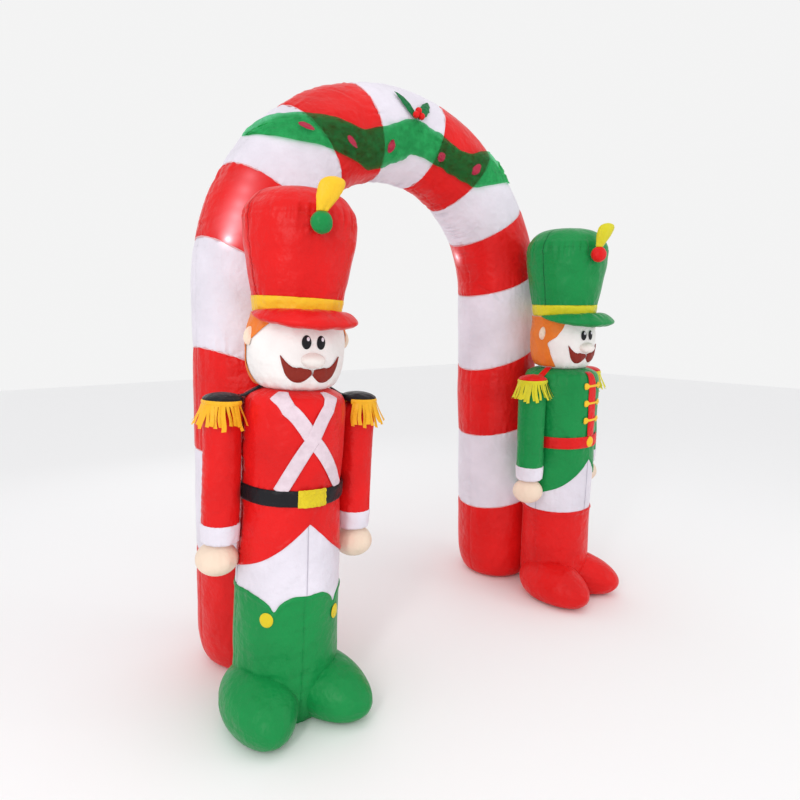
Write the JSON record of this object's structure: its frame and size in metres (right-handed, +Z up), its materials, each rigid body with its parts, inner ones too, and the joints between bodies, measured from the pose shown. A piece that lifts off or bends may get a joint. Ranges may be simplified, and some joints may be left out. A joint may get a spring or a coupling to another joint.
{
  "type": "inflatable arch",
  "caption": "Free-standing inflatable archway of candy-striped cloth, with a sheer swag and a holly sprig on its crown and a stuffed toy soldier in front of each leg.",
  "frame": {"origin": "centre of the outline on the ground", "axes": "+Z up, +X from the red soldier's leg to the green soldier's leg, the front faces -Y"},
  "size_m": [2.4788, 1.053, 2.7361],
  "materials": {
    "red_cloth": "satin polyester cloth",
    "white_cloth": "satin polyester cloth",
    "green_cloth": "satin polyester cloth",
    "swag_cloth": "satin polyester cloth",
    "gold_cloth": "satin polyester cloth",
    "lemon_cloth": "satin polyester cloth",
    "orange_cloth": "satin polyester cloth",
    "peach_cloth": "satin polyester cloth",
    "black_cloth": "satin polyester cloth"
  },
  "bodies": {
    "root": {"arch_band_01": "red_cloth", "arch_band_02": "white_cloth", "arch_band_03": "red_cloth", "arch_band_04": "white_cloth", "arch_band_05": "red_cloth", "arch_band_06": "white_cloth", "arch_band_07": "red_cloth", "arch_band_08": "white_cloth", "arch_band_09": "red_cloth", "arch_band_10": "white_cloth", "arch_band_11": "red_cloth", "arch_band_12": "white_cloth", "arch_band_13": "red_cloth", "arch_band_14": "white_cloth", "arch_band_15": "red_cloth", "swag": "swag_cloth", "holly_leaves": "green_cloth", "holly_berries": "red_cloth", "red_soldier_boots": "green_cloth", "red_soldier_trousers": "white_cloth", "red_soldier_coat": "red_cloth", "red_soldier_belt": "black_cloth", "red_soldier_buckle": "gold_cloth", "red_soldier_crossed_straps": "white_cloth", "red_soldier_arm_left": "red_cloth", "red_soldier_arm_right": "red_cloth", "red_soldier_hand_left": "peach_cloth", "red_soldier_hand_right": "peach_cloth", "red_soldier_epaulette_left": "black_cloth", "red_soldier_epaulette_right": "black_cloth", "red_soldier_fringe_left": "gold_cloth", "red_soldier_fringe_right": "gold_cloth", "red_soldier_head": "white_cloth", "red_soldier_hair": "orange_cloth", "red_soldier_hat_band": "gold_cloth", "red_soldier_hat": "red_cloth", "red_soldier_visor": "red_cloth", "red_soldier_pompom": "green_cloth", "red_soldier_plume": "gold_cloth", "green_soldier_boots": "red_cloth", "green_soldier_trousers": "white_cloth", "green_soldier_coat": "green_cloth", "green_soldier_belt": "red_cloth", "green_soldier_buckle": "gold_cloth", "green_soldier_placket": "red_cloth", "green_soldier_arm_left": "green_cloth", "green_soldier_arm_right": "green_cloth", "green_soldier_hand_left": "peach_cloth", "green_soldier_hand_right": "peach_cloth", "green_soldier_epaulette_left": "red_cloth", "green_soldier_epaulette_right": "red_cloth", "green_soldier_fringe_left": "lemon_cloth", "green_soldier_fringe_right": "lemon_cloth", "green_soldier_head": "white_cloth", "green_soldier_hair": "orange_cloth", "green_soldier_hat_band": "lemon_cloth", "green_soldier_hat": "green_cloth", "green_soldier_visor": "green_cloth", "green_soldier_pompom": "red_cloth", "green_soldier_plume": "gold_cloth"}
  },
  "joints": []
}
